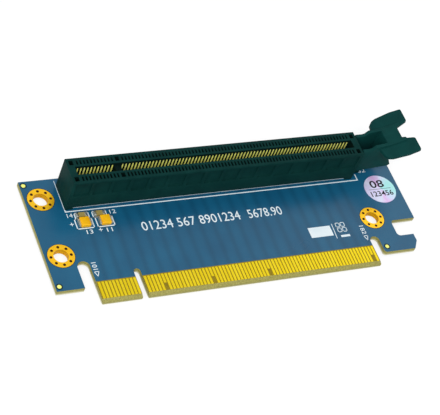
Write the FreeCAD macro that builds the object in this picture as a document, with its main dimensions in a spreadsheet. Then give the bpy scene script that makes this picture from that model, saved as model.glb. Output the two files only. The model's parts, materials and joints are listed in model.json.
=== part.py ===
import FreeCAD, Part
import Sketcher
import os
import re

# Pass-through riser card: an edge-finger board carrying a long card slot
# with a fishtail retaining lever. Lengths are millimetres, in the card's own
# frame: x along the fingers, y from the fingers to the far edge, z out of
# the slot side. The origin is the lower left mounting hole, at the board's
# rear face.

os.makedirs("parts", exist_ok=True)
doc = FreeCAD.newDocument("riser")
sheet = doc.addObject("Spreadsheet::Sheet", "Dimensions")

sizes = [
    # board outline
    ("board_thickness", 1.6),
    ("left_margin", 4.5),
    ("right_margin", 14.2),
    ("top_margin", 25.3),
    ("leg_depth", 10.8),
    ("leg_width", 7.75),
    ("left_gap", 3.5),
    ("left_gap_top", 2.45),
    ("tongue_depth", 15.7),
    ("key_top", 6.8),
    ("right_gap", 2.9),
    ("right_gap_top", 6.35),
    ("foot_depth", 12.15),
    ("foot_inset", 2.9),
    ("foot_cut_wide", 1.7),
    ("foot_cut_high", 2.6),
    ("foot_round", 0.8),
    ("hook_low", 7.2),
    ("hook_high", 1.7),
    ("hook_reach", 8.15),
    ("hook_round", 1.1),
    ("bevel_high", 1.0),
    ("bevel_deep", 0.35),
    # plated mounting holes
    ("hole_inset", 6.55),
    ("hole_reach", 4.05),
    ("hole_radius", 2.05),
    ("plating", 0.03),
    ("copper", 0.05),
    ("ring_radius", 3.7),
    ("ring_clearance", 1.8),
    # edge fingers
    ("pitch", 1.0),
    ("short_count", 11.0),
    ("long_count", 71.0),
    ("key_pitches", 3.0),
    ("first_finger", 0.65),
    ("finger_side", 0.55),
    ("finger_width", 0.7),
    ("finger_length", 5.2),
    ("short_finger", 2.3),
    # slot housing
    ("slot_inset", 6.6),
    ("slot_width", 8.5),
    ("slot_height", 11.25),
    ("slot_lift", 1.0),
    ("slot_foot", 2.2),
    ("mouth_margin", 2.0),
    ("mouth_width", 2.8),
    ("mouth_depth", 8.0),
    ("key_drop", 1.2),
    ("first_contact", 1.0),
    ("contact_side", 0.65),
    ("contact_width", 0.6),
    ("contact_thick", 0.3),
    ("contact_drop", 0.5),
    ("contact_slack", 0.1),
    ("comb_width", 0.5),
    ("comb_inner", 2.0),
    ("comb_outer", 3.55),
    ("comb_depth", 2.0),
    ("comb_lean", 0.3),
    ("core_width", 1.2),
    ("core_depth", 2.0),
    ("core_gap", 0.1),
    ("recess_count", 16.0),
    ("recess_rib", 1.0),
    ("recess_depth", 0.4),
    ("recess_low", 5.6),
    ("recess_high", 10.4),
    # contact tails
    ("tail_out", 1.35),
    ("tail_row", 2.9),
    ("tail_tip", 0.35),
    # lever seat and pivot
    ("pivot_reach", 2.0),
    ("pivot_rise", 3.2),
    ("boss_reach", 3.5),
    ("boss_rise", 4.7),
    ("boss_width", 4.4),
    ("pin_radius", 0.9),
    ("pin_slack", 0.05),
    ("pin_gap", 2.0),
    ("side_slack", 0.1),
    # lever, from its pivot
    ("arm_thick", 1.0),
    ("arm_back", 1.55),
    ("arm_rise", 7.85),
    ("heel_drop", 0.8),
    ("heel_reach", 10.05),
    ("heel_nose", 0.5),
    ("throat_reach", 6.3),
    ("throat_rise", 7.6),
    ("crown_reach", 7.6),
    ("crown_rise", 10.2),
    ("crown_dip", 0.6),
    ("arm_swell", 0.25),
    ("cavity_floor", 2.3),
    ("cavity_reach", 5.9),
    ("cavity_lean", 0.6),
    ("cavity_sill", 1.2),
    ("wing_half", 7.85),
    ("wing_tilt", 22.5),
    ("wing_thick", 0.85),
    ("wing_start", 3.1),
    ("wing_root", 4.55),
    ("wing_level", 8.6),
    ("wing_end", 13.85),
    ("shoulder", 1.0),
    ("ridge_start", 6.6),
    ("ridge_end", 11.4),
    ("ridge_high", 0.5),
    ("notch_reach", 10.35),
    ("notch_half", 1.9),
    ("overrun", 1.0),
    # capacitors, from the slot's lower left corner
    ("block_length", 2.7),
    ("block_width", 2.9),
    ("block_height", 1.3),
    ("block_gap", 0.1),
    ("block_drop", 5.0),
    ("block_inset", 4.05),
    ("block_step", 5.9),
    ("terminal_length", 0.8),
    ("terminal_width", 2.2),
    ("terminal_reach", 0.45),
    ("terminal_height", 0.9),
    ("chip_length", 3.0),
    ("chip_width", 1.5),
    ("chip_height", 0.8),
    ("chip_cap", 0.6),
    ("chip_wrap", 0.03),
    ("chip_drop", 2.45),
    ("chip_inset", 3.9),
    ("chip_step", 5.05),
    # sticker and printed marks
    ("ink", 0.04),
    ("sticker_radius", 5.0),
    ("sticker_thick", 0.1),
    ("sticker_past", 7.85),
    ("sticker_drop", 4.75),
    ("line_width", 0.3),
    ("frame_gap", 0.45),
    ("frame_past", 2.15),
    ("frame_return", 2.0),
    ("frame_top", 0.8),
    ("mark_inset", 17.65),
    ("mark_low", 4.3),
    ("mark_wide", 7.1),
    ("mark_high", 3.45),
]

# Sizes that follow from the ones above
derived = [
    ("key_step", "(short_count-1+key_pitches)*pitch"),
    ("row_span", "key_step+(long_count-1)*pitch"),
    ("tongue_left", "leg_width-left_margin+left_gap"),
    ("short_tongue", "first_finger+(short_count-1)*pitch+finger_side"),
    ("key_gap", "key_pitches*pitch-2*finger_side"),
    ("tongue_width", "2*first_finger+row_span"),
    ("finger_top", "tongue_depth-bevel_high-finger_length"),
    ("slot_length", "2*(mouth_margin+first_contact)+row_span"),
    ("slot_left", "ring_radius+ring_clearance"),
    ("slot_right", "slot_left+slot_length"),
    ("slot_middle_x", "slot_left+slot_length/2"),
    ("slot_middle_y", "top_margin-slot_inset"),
    ("slot_low", "slot_middle_y-slot_width/2"),
    ("mouth_short", "first_contact+(short_count-1)*pitch+contact_side"),
    ("mouth_key", "key_pitches*pitch-2*contact_side"),
    ("recess_pitch", "(slot_length-recess_rib)/recess_count"),
    ("recess_width", "recess_pitch-recess_rib"),
    ("hole_rise", "top_margin-hole_inset"),
    ("hole_span", "tongue_left+tongue_width+hole_reach"),
    ("right_edge", "slot_right+right_margin"),
    ("hook_left", "right_edge-hook_reach"),
]
for row, (word, value) in enumerate(sizes, start=1):
    cell = "A%d" % row
    sheet.set(cell, repr(value))
    sheet.setAlias(cell, word)
for row, (word, formula) in enumerate(derived, start=1):
    cell = "B%d" % row
    sheet.set(cell, "=" + formula)
    sheet.setAlias(cell, word)
    doc.recompute()
words = sorted((word for word, value in sizes + derived), key=len, reverse=True)
finder = re.compile(r"\b(" + "|".join(words) + r")\b")


def linked(text):
    """Turns a plain formula into one that points at the sheet."""
    return finder.sub(r"Dimensions.\1", str(text))


def value_of(text):
    return float(sheet.evalExpression(linked(text)))


def bind(item, prop, text):
    item.setExpression(prop, linked(text))


def place(item, x, y, z):
    bind(item, "Placement.Base.x", x)
    bind(item, "Placement.Base.y", y)
    bind(item, "Placement.Base.z", z)


def new_body(label, x="0", y="0", z="0"):
    body = doc.addObject("PartDesign::Body", label)
    body.Label = label
    body.AllowCompound = True
    place(body, x, y, z)
    return body


def origin_part(body, role):
    return next(item for item in body.Origin.OriginFeatures if item.Role == role)


def new_sketch(body, plane="XY_Plane", lift="0"):
    sketch = doc.addObject("Sketcher::SketchObject", body.Name + "Sketch")
    body.addObject(sketch)
    sketch.AttachmentSupport = (origin_part(body, plane), [""])
    sketch.MapMode = "FlatFace"
    bind(sketch, "AttachmentOffset.Base.z", lift)
    return sketch


def pin_point(sketch, line, end, x, y):
    """Fixes a point at two distances from the sketch's origin."""
    a = sketch.addConstraint(Sketcher.Constraint("DistanceX", -1, 1, line, end, value_of(x)))
    bind(sketch, "Constraints[%d]" % a, x)
    b = sketch.addConstraint(Sketcher.Constraint("DistanceY", -1, 1, line, end, value_of(y)))
    bind(sketch, "Constraints[%d]" % b, y)


def add_polygon(sketch, points):
    """A closed run of straight edges through points given as formulas."""
    spots = [FreeCAD.Vector(value_of(x), value_of(y), 0) for x, y in points]
    first = sketch.GeometryCount
    count = len(spots)
    for i in range(count):
        sketch.addGeometry(Part.LineSegment(spots[i], spots[(i + 1) % count]), False)
    for i in range(count):
        sketch.addConstraint(
            Sketcher.Constraint("Coincident", first + i, 2, first + (i + 1) % count, 1))
    for i in range(count):
        pin_point(sketch, first + i, 1, *points[i])


def add_box(sketch, x0, x1, y0, y1):
    add_polygon(sketch, [(x0, y0), (x1, y0), (x1, y1), (x0, y1)])


def add_circle(sketch, x, y, radius):
    centre = FreeCAD.Vector(value_of(x), value_of(y), 0)
    shape = Part.Circle(centre, FreeCAD.Vector(0, 0, 1), value_of(radius))
    index = sketch.addGeometry(shape, False)
    pin_point(sketch, index, 3, x, y)
    size = sketch.addConstraint(Sketcher.Constraint("Radius", index, value_of(radius)))
    bind(sketch, "Constraints[%d]" % size, radius)


def pad(body, sketch, length, both=False, flip=False):
    feature = doc.addObject("PartDesign::Pad", body.Name + "Pad")
    body.addObject(feature)
    feature.Profile = sketch
    bind(feature, "Length", length)
    feature.SideType = "Symmetric" if both else "One side"
    feature.Reversed = flip
    return feature


def pocket(body, sketch, length=None, both=False, flip=False):
    feature = doc.addObject("PartDesign::Pocket", body.Name + "Pocket")
    body.addObject(feature)
    feature.Profile = sketch
    feature.SideType = "Symmetric" if both else "One side"
    feature.Reversed = flip
    if length is None:
        feature.Type = "ThroughAll"
    else:
        bind(feature, "Length", length)
    return feature


def row_of(body, feature, step, count):
    """Repeats a feature along x at a fixed step."""
    pattern = doc.addObject("PartDesign::LinearPattern", body.Name + "Row")
    body.addObject(pattern)
    pattern.Originals = [feature]
    pattern.Direction = (origin_part(body, "X_Axis"), [""])
    pattern.Mode = "Spacing"
    bind(pattern, "Offset", step)
    bind(pattern, "Occurrences", count)
    body.Tip = pattern
    return pattern


def round_edges(body, feature, spots, radius):
    """Rounds the edges square to the board that stand at the given spots."""
    doc.recompute()
    names = []
    for number, edge in enumerate(feature.Shape.Edges, start=1):
        box = edge.BoundBox
        if box.XLength > 0.01 or box.YLength > 0.01:
            continue
        for x, y in spots:
            if abs(box.XMin - value_of(x)) < 0.01 and abs(box.YMin - value_of(y)) < 0.01:
                names.append("Edge%d" % number)
    fillet = doc.addObject("PartDesign::Fillet", body.Name + "Round")
    body.addObject(fillet)
    fillet.Base = (feature, names)
    bind(fillet, "Radius", radius)
    body.Tip = fillet
    return fillet


# Named places worked out from the sizes
leg_right = "leg_width-left_margin"
key_left = "tongue_left+short_tongue"
key_right = key_left + "+key_gap"
tongue_right = "tongue_left+tongue_width"
foot_left = tongue_right + "+right_gap"
foot_right = "right_edge-foot_inset"
left_round = "-left_gap_top-left_gap/2"
key_round = "-key_top-key_gap/2"
right_round = "-right_gap_top-right_gap/2"
finger_one = "tongue_left+first_finger"
finger_twelve = finger_one + "+key_step"
mouth_left = "-slot_length/2+mouth_margin"
contact_one = mouth_left + "+first_contact"
contact_twelve = contact_one + "+key_step"
front_face = "board_thickness"

# The board: outline with two legs, the finger tongue and its key gap
board = new_body("circuit_board")
outline = new_sketch(board)
add_polygon(outline, [
    ("-left_margin", "top_margin"),
    ("-left_margin", "-leg_depth"),
    (leg_right, "-leg_depth"),
    (leg_right, left_round),
    ("tongue_left", left_round),
    ("tongue_left", "-tongue_depth"),
    (key_left, "-tongue_depth"),
    (key_left, key_round),
    (key_right, key_round),
    (key_right, "-tongue_depth"),
    (tongue_right, "-tongue_depth"),
    (tongue_right, right_round),
    (foot_left, right_round),
    (foot_left, "-foot_depth"),
    (foot_right + "-foot_cut_wide", "-foot_depth"),
    (foot_right, "-foot_depth+foot_cut_high"),
    (foot_right, "-hook_low"),
    ("hook_left", "-hook_low"),
    ("hook_left", "-hook_high"),
    ("right_edge", "-hook_high"),
    ("right_edge", "top_margin"),
])
plate = pad(board, outline, "board_thickness")
hooked = round_edges(
    board, plate, [("hook_left", "-hook_low"), ("hook_left", "-hook_high")], "hook_round")
footed = round_edges(board, hooked, [(foot_left, "-foot_depth")], "foot_round")

# Milled round ends of the three gaps
gap_ends = new_sketch(board)
add_circle(gap_ends, leg_right + "+left_gap/2", left_round, "left_gap/2")
add_circle(gap_ends, key_left + "+key_gap/2", key_round, "key_gap/2")
add_circle(gap_ends, tongue_right + "+right_gap/2", right_round, "right_gap/2")
pocket(board, gap_ends, both=True)

# Lead-in bevel on both faces of the tongue
bevel = new_sketch(board, "YZ_Plane")
add_polygon(bevel, [
    ("-tongue_depth", "board_thickness-bevel_deep"),
    ("-tongue_depth+bevel_high", "board_thickness"),
    ("-tongue_depth", "board_thickness"),
])
add_polygon(bevel, [
    ("-tongue_depth", "0"),
    ("-tongue_depth+bevel_high", "0"),
    ("-tongue_depth", "bevel_deep"),
])
pocket(board, bevel, both=True)

# Holes for the plated mounting barrels
hole_places = (("0", "0"), ("0", "hole_rise"), ("hole_span", "0"))
barrels = new_sketch(board)
for hole_x, hole_y in hole_places:
    add_circle(barrels, hole_x, hole_y, "hole_radius+plating")
pocket(board, barrels, both=True)

# Tail holes: odd contacts reach the outer rows, even ones the inner rows
half = "contact_width/2"
odd_short = "(short_count+1)/2"
odd_long = "(long_count-1)/2"
even_short = "(short_count-1)/2"
even_long = "(long_count+1)/2"
inner_face = "(mouth_width/2-contact_thick)"
outer_face = "(mouth_width/2)"
tail_inner = "(tail_row-contact_thick)"
runs = {
    "odd_short": (contact_one, odd_short, tail_inner, "tail_row"),
    "odd_long": (contact_twelve + "+pitch", odd_long, tail_inner, "tail_row"),
    "even_short": (contact_one + "+pitch", even_short, inner_face, outer_face),
    "even_long": (contact_twelve, even_long, inner_face, outer_face),
}
for start, count, near, far in runs.values():
    holes = new_sketch(board)
    x0 = "slot_middle_x+" + start + "-" + half
    x1 = "slot_middle_x+" + start + "+" + half
    add_box(holes, x0, x1, "slot_middle_y+" + near, "slot_middle_y+" + far)
    add_box(holes, x0, x1, "slot_middle_y-" + far, "slot_middle_y-" + near)
    row_of(board, pocket(board, holes, both=True), "2*pitch", count)

# Gold edge fingers, one row on each face of the tongue. On the front four
# presence fingers stop short of the bevel, so they are left out of the
# full rows and set in as shorter ones.
short_places = (17, 31, 48, 81)
finger_low = "-tongue_depth+bevel_high"
for label, base in (("front_fingers", "board_thickness"), ("rear_fingers", "-copper")):
    fingers = new_body(label)
    for start, count in ((finger_one, "short_count"), (finger_twelve, "long_count")):
        finger = new_sketch(fingers, lift=base)
        add_box(finger, start + "-finger_width/2", start + "+finger_width/2",
                finger_low, "-finger_top")
        row_of(fingers, pad(fingers, finger, "copper"), "pitch", count)
    if label == "front_fingers":
        trim = new_sketch(fingers, lift=base)
        for number in short_places:
            middle = finger_twelve + "+%d*pitch" % (number - 12)
            add_box(trim, middle + "-finger_width/2", middle + "+finger_width/2",
                    finger_low, finger_low + "+short_finger")
        pocket(fingers, trim, both=True)

# Plated barrels, each with a ring on both faces
rings = new_body("plated_rings")
for base, rise, outer in (
    ("-copper", "copper", "ring_radius"),
    ("-copper", "board_thickness+2*copper", "hole_radius+plating"),
    ("board_thickness", "copper", "ring_radius"),
):
    ring = new_sketch(rings, lift=base)
    for hole_x, hole_y in hole_places:
        add_circle(ring, hole_x, hole_y, outer)
        add_circle(ring, hole_x, hole_y, "hole_radius")
    pad(rings, ring, rise)

# Slot housing, about its own middle on the board's front face
housing = new_body("slot_housing", "slot_middle_x", "slot_middle_y", front_face)
block = new_sketch(housing)
add_box(block, "-slot_length/2", "slot_length/2", "-slot_width/2", "slot_width/2")
pad(housing, block, "slot_height")
relief = new_sketch(housing, "XZ_Plane")
add_box(relief, "-slot_length/2+slot_foot", "slot_length/2-slot_foot", "0", "slot_lift")
pocket(housing, relief, both=True)

# Seat for the lever's pivot at the right end
seat = new_sketch(housing)
add_box(seat, "slot_length/2-mouth_margin/2", "slot_length/2+boss_reach", "-boss_width/2", "boss_width/2")
pad(housing, seat, "boss_rise")
pivot_bore = new_sketch(housing, "XZ_Plane")
add_circle(pivot_bore, "slot_length/2+pivot_reach", "pivot_rise", "pin_radius+pin_slack")
pocket(housing, pivot_bore, both=True)

# The mouth in two lengths with the key between, and a narrow way down
# through the floor for each row of contacts
mouth = new_sketch(housing, lift="slot_height")
mouth_mid = mouth_left + "+mouth_short"
mouth_next = mouth_mid + "+mouth_key"
mouth_end = "slot_length/2-mouth_margin"
for x0, x1 in ((mouth_left, mouth_mid), (mouth_next, mouth_end)):
    add_box(mouth, x0, x1, "-mouth_width/2", "mouth_width/2")
pocket(housing, mouth, "mouth_depth")
key_top_cut = new_sketch(housing, lift="slot_height")
add_box(key_top_cut, mouth_mid, mouth_next, "-mouth_width/2", "mouth_width/2")
pocket(housing, key_top_cut, "key_drop")
ways = new_sketch(housing, lift="slot_height")
reach = half + "+contact_slack"
for start, count in ((contact_one, "short_count"), (contact_twelve, "long_count")):
    x0 = start + "-" + half + "-contact_slack"
    x1 = start + "+(" + count + "-1)*pitch+" + reach
    add_box(ways, x0, x1, inner_face, outer_face)
    add_box(ways, x0, x1, "-" + outer_face, "-" + inner_face)
pocket(housing, ways)

# Comb pockets in both rims, one for each contact, with a sloping floor
for start, count in ((contact_one, "short_count"), (contact_twelve, "long_count")):
    comb = new_sketch(housing, "YZ_Plane", lift=start)
    for sign in ("", "-"):
        add_polygon(comb, [
            (sign + "comb_inner", "slot_height"),
            (sign + "comb_outer", "slot_height"),
            (sign + "(comb_inner+comb_lean)", "slot_height-comb_depth"),
        ])
    row_of(housing, pocket(housing, comb, "comb_width", both=True), "pitch", count)

# Square cored pockets in both rims: past each end of the mouth and at the key
cores = new_sketch(housing, lift="slot_height")
core_places = (
    mouth_left + "-core_gap-core_width",
    mouth_mid + "+mouth_key/2-core_width/2",
    mouth_end + "+core_gap",
)
for x0 in core_places:
    x1 = x0 + "+core_width"
    add_box(cores, x0, x1, "comb_inner", "comb_outer")
    add_box(cores, x0, x1, "-comb_outer", "-comb_inner")
pocket(housing, cores, "core_depth")

# Shallow recesses along both long walls
for side, flip in (("-slot_width/2", False), ("slot_width/2", True)):
    niche = new_sketch(housing, "XZ_Plane", lift="-(" + side + ")")
    middle = "-(recess_count-1)/2*recess_pitch"
    add_box(niche, middle + "-recess_width/2", middle + "+recess_width/2",
            "recess_low", "recess_high")
    hollow = pocket(housing, niche, "recess_depth", flip=flip)
    row_of(housing, hollow, "recess_pitch", "recess_count")

# Slot contacts: upright strips against the mouth's walls. Even ones run
# straight down; odd ones step out under the housing to the outer tail row.
strip_top = "slot_height-contact_drop"
tail_end = "-board_thickness-tail_out"
for side, sign in (("front", "-"), ("rear", "")):
    straight = [
        (sign + inner_face, tail_end),
        (sign + outer_face, tail_end),
        (sign + outer_face, strip_top),
        (sign + inner_face, strip_top),
    ]
    stepped = [
        (sign + "(tail_row-contact_thick/2)", tail_end),
        (sign + "tail_row", "tail_tip"),
        (sign + outer_face, "slot_lift"),
        (sign + "(mouth_width/2-contact_thick/2)", strip_top),
        (sign + inner_face, "slot_lift-tail_tip"),
        (sign + tail_inner, "0"),
    ]
    for kind, profile in (("even", straight), ("odd", stepped)):
        contacts = new_body(side + "_" + kind + "_contacts",
                            "slot_middle_x", "slot_middle_y", front_face)
        for length in ("short", "long"):
            start, count, near, far = runs[kind + "_" + length]
            strip = new_sketch(contacts, "YZ_Plane", lift=start)
            add_polygon(strip, profile)
            row_of(contacts, pad(contacts, strip, "contact_width", both=True),
                   "2*pitch", count)

# Fishtail lever, about its pivot: two arms beside the seat, a solid heel
# with a sloping inner floor, and a tilted wing plate with a notch
lever = new_body("latch_lever", "slot_right+pivot_reach", "slot_middle_y",
                 "board_thickness+pivot_rise")
arm_inner = "(boss_width/2+side_slack)"
arm_outer = "(boss_width/2+side_slack+arm_thick)"
lever_width = "2*" + arm_outer
flank = new_sketch(lever, "XZ_Plane")
add_polygon(flank, [
    ("-arm_back", "-heel_drop"),
    ("heel_reach-heel_nose", "heel_drop/2"),
    ("heel_reach", "heel_drop/2+heel_nose"),
    ("throat_reach", "throat_rise"),
    ("crown_reach", "crown_rise"),
    ("wing_root", "crown_rise-crown_dip"),
    ("wing_root/2", "crown_rise-1.5*crown_dip"),
    ("0.9*arm_back", "arm_rise+arm_swell"),
    ("arm_back/3", "arm_rise"),
    ("-arm_back", "arm_rise"),
])
pad(lever, flank, lever_width, both=True)
hollow = new_sketch(lever, "XZ_Plane")
hollow_back = "-arm_back-overrun"
hollow_low = "-heel_drop-overrun"
hollow_high = "crown_rise+overrun"
add_polygon(hollow, [
    (hollow_back, hollow_low),
    ("cavity_floor", hollow_low),
    ("cavity_floor+cavity_lean", "cavity_sill"),
    ("cavity_reach+cavity_lean", hollow_high),
    (hollow_back, hollow_high),
])
pocket(lever, hollow, "2*" + arm_inner, both=True)

# Tilted wing plate; its top runs through the same tilted line throughout
wing = new_sketch(lever, "XZ_Plane")


def wing_top(reach):
    """Height of the plate's top face at a reach from the pivot."""
    return "wing_level+(" + reach + "-wing_root)*tan(wing_tilt*1deg)"


skin_out = "+wing_thick*sin(wing_tilt*1deg)"
skin_down = "-wing_thick*cos(wing_tilt*1deg)"
add_polygon(wing, [
    ("wing_start" + skin_out, wing_top("wing_start") + skin_down),
    ("wing_end" + skin_out, wing_top("wing_end") + skin_down),
    ("wing_end", wing_top("wing_end")),
    ("wing_start", wing_top("wing_start")),
])
pad(lever, wing, "2*wing_half", both=True)

# Raised middle of the plate between the cavity and the notch
ridge = new_sketch(lever, "XZ_Plane")
sink = "-wing_thick/4"
add_polygon(ridge, [
    ("ridge_start", wing_top("ridge_start") + sink),
    ("ridge_end", wing_top("ridge_end") + sink),
    ("ridge_end", wing_top("ridge_end") + "+ridge_high"),
    ("ridge_start", wing_top("ridge_start") + "+ridge_high"),
])
pad(lever, ridge, lever_width, both=True)

# Plan outline of the wings: notch in the tail, sloping shoulders, and the
# cavity kept open through the plate
plan = new_sketch(lever)
past_end = "wing_end+2*overrun"
past_side = "(wing_half+overrun)"
add_polygon(plan, [
    ("notch_reach", "-notch_half"),
    (past_end, "-2*notch_half"),
    (past_end, "2*notch_half"),
    ("notch_reach", "notch_half"),
])
before_wing = "wing_start-side_slack"
for sign in ("", "-"):
    add_polygon(plan, [
        (before_wing, sign + arm_outer),
        ("wing_root-0.65*shoulder", sign + arm_outer),
        ("wing_root-0.25*shoulder", sign + "(wing_half-2*shoulder)"),
        ("wing_root+0.55*shoulder", sign + "(wing_half-shoulder)"),
        ("wing_root+1.65*shoulder", sign + "(wing_half-shoulder/2)"),
        ("notch_reach+shoulder/4", sign + "wing_half"),
        (past_end, sign + "(wing_half-shoulder/4)"),
        (past_end, sign + past_side),
        (before_wing, sign + past_side),
    ])
add_polygon(plan, [
    (before_wing, "-" + arm_inner),
    ("cavity_reach", "-" + arm_inner),
    ("cavity_reach", arm_inner),
    (before_wing, arm_inner),
])
pocket(lever, plan, "3*crown_rise", both=True)

# Two short pivot pins inside the arms, with a gap between their ends
pins = new_sketch(lever, "XZ_Plane")
add_circle(pins, "0", "0", "pin_radius")
pad(lever, pins, "2*" + arm_inner + "+2*side_slack", both=True)
pin_split = new_sketch(lever, "XZ_Plane")
add_box(pin_split, "-1.5*pin_radius", "1.5*pin_radius", "-1.5*pin_radius", "1.5*pin_radius")
pocket(lever, pin_split, "pin_gap", both=True)

# Moulded block capacitors, each on two folded terminals
block_places = {
    "left": "slot_left+block_inset",
    "right": "slot_left+block_inset+block_step",
}
for side, middle in block_places.items():
    block = new_body(side + "_block_capacitor", middle, "slot_low-block_drop", front_face)
    shape = new_sketch(block, lift="block_gap")
    add_box(shape, "-block_length/2", "block_length/2", "-block_width/2", "block_width/2")
    pad(block, shape, "block_height-block_gap")
    ends = new_body(side + "_block_terminals", middle, "slot_low-block_drop", front_face)
    outer = "(block_length/2+terminal_reach)"
    for reach, rise in (("terminal_length", "block_gap"), ("0", "terminal_height")):
        inner = "(block_length/2-" + reach + ")"
        foot = new_sketch(ends)
        add_box(foot, "-" + outer, "-" + inner, "-terminal_width/2", "terminal_width/2")
        add_box(foot, inner, outer, "-terminal_width/2", "terminal_width/2")
        pad(ends, foot, rise)

# Small ceramic chips with metal end caps
chip_places = {
    "left": "slot_left+chip_inset",
    "right": "slot_left+chip_inset+chip_step",
}
for side, middle in chip_places.items():
    chip = new_body(side + "_chip_capacitor", middle, "slot_low-chip_drop", front_face)
    core = new_sketch(chip, lift="chip_wrap")
    inner = "(chip_length/2-chip_cap)"
    across = "(chip_width/2-chip_wrap)"
    add_box(core, "-" + inner, inner, "-" + across, across)
    pad(chip, core, "chip_height-2*chip_wrap")
    caps = new_body(side + "_chip_ends", middle, "slot_low-chip_drop", front_face)
    cap = new_sketch(caps)
    add_box(cap, "-chip_length/2", "-" + inner, "-chip_width/2", "chip_width/2")
    add_box(cap, inner, "chip_length/2", "-chip_width/2", "chip_width/2")
    pad(caps, cap, "chip_height")

# Round inspection sticker
sticker = new_body("inspection_sticker", "slot_right+sticker_past", "slot_low-sticker_drop",
                   front_face)
disc = new_sketch(sticker)
add_circle(disc, "0", "0", "sticker_radius")
pad(sticker, disc, "sticker_thick")

# Printed outline round the slot and the plain marking block
marks = new_body("printed_marks", z=front_face)
ink = new_sketch(marks)
left = "slot_left-line_width/2"
right = "slot_right+frame_past"
low = "slot_low-frame_gap"
top = "top_margin-frame_top"
add_polygon(ink, [
    (left, top),
    (left, low + "-line_width"),
    (right, low + "-line_width"),
    (right, low + "+frame_return"),
    (right + "-line_width", low + "+frame_return"),
    (right + "-line_width", low),
    (left + "+line_width", low),
    (left + "+line_width", "slot_low"),
    ("slot_left", "slot_low"),
    ("slot_left", top),
])
mark_left = tongue_right + "-mark_inset"
add_box(ink, mark_left, mark_left + "+mark_wide", "-mark_low", "-mark_low+mark_high")
pad(marks, ink, "ink")

doc.recompute()
bad = []
for item in doc.Objects:
    if "Invalid" in item.State or "Error" in item.State:
        bad.append(item.Name)
if bad:
    raise RuntimeError("features that failed: " + ", ".join(bad))

for item in doc.Objects:
    if item.TypeId != "PartDesign::Body":
        continue
    if item.Shape.isNull() or not item.Shape.isValid():
        raise RuntimeError("bad shape: " + item.Label)
    item.Shape.exportStep("parts/" + item.Label + ".step")
    print(item.Label, len(item.Shape.Solids), len(item.Shape.Faces), round(item.Shape.Volume, 2))
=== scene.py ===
import json
import math
import bmesh
import bpy
import numpy as np
from mathutils import Matrix, Vector


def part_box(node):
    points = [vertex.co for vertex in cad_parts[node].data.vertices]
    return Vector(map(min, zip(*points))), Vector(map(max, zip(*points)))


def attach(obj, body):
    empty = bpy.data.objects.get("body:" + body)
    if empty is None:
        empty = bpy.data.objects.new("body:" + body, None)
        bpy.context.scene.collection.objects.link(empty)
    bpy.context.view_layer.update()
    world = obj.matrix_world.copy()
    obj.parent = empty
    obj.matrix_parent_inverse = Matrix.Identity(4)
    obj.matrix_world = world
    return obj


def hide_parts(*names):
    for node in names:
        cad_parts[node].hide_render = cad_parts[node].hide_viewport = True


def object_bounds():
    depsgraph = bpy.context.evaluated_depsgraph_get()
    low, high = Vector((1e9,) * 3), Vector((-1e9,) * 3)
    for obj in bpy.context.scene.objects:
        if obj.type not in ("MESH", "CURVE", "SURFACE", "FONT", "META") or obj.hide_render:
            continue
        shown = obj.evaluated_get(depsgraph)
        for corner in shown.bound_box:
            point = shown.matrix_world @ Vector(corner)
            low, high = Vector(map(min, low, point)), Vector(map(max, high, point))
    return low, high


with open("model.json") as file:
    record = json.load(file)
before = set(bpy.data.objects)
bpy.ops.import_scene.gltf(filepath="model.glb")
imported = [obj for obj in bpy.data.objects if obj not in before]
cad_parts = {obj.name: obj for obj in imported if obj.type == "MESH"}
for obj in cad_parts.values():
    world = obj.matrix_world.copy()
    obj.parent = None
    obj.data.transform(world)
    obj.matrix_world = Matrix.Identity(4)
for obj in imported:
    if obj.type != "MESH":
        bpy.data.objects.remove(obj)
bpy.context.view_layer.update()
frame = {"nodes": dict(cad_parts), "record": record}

# Riser card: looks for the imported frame. Everything is in metres, in the
# frame's own axes: x along the fingers, y towards the slot, z out of the
# slot side.

mm = 0.001
nodes = frame["nodes"]
mounts = {mount["name"]: mount for mount in frame["record"]["mounts"]}


def corners(name):
    # A node's lower and upper corners
    low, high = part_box(name)
    return np.array(low), np.array(high)


# Places read from the frame
boardLow, boardHigh = corners("circuit_board")
housingLow, housingHigh = corners("slot_housing")
fingerLow, fingerHigh = corners("front_fingers")
ringLow, ringHigh = corners("plated_rings")
oddLow, oddHigh = corners("front_odd_contacts")
evenLow, evenHigh = corners("front_even_contacts")
stickerLow, stickerHigh = corners("inspection_sticker")
frontFace, rearFace = boardHigh[2], boardLow[2]
slotMiddle = (housingLow[1] + housingHigh[1]) / 2
holes = [mounts[name] for name in ("lower_left_hole", "upper_left_hole", "right_hole")]
holeCentres = np.array([hole["pos_m"] for hole in holes])

# The contact order: two runs at one pitch with the key between
lane = dict(pitch=1.0 * mm, firstRun=11, secondRun=71, keyStep=13, contactHalf=0.3 * mm)
order = np.arange(lane["firstRun"] + lane["secondRun"])
steps = np.where(order < lane["firstRun"], order, order - lane["firstRun"] + lane["keyStep"])
contactX = oddLow[0] + lane["contactHalf"] + steps * lane["pitch"]
isOdd = order % 2 == 0  # the first contact of all is an odd one, with its tail in the outer row


def linear(hexText):
    # sRGB hex to linear light: the usual two-part curve
    value = np.array([int(hexText[i:i + 2], 16) for i in (1, 3, 5)]) / 255
    value = np.where(value <= 0.04045, value / 12.92, ((value + 0.055) / 1.055) ** 2.4)
    return (*value.tolist(), 1.0)


def per(size):
    # Texture scale that gives a pattern with features this many millimetres across
    return 1 / (size * mm)


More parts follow.
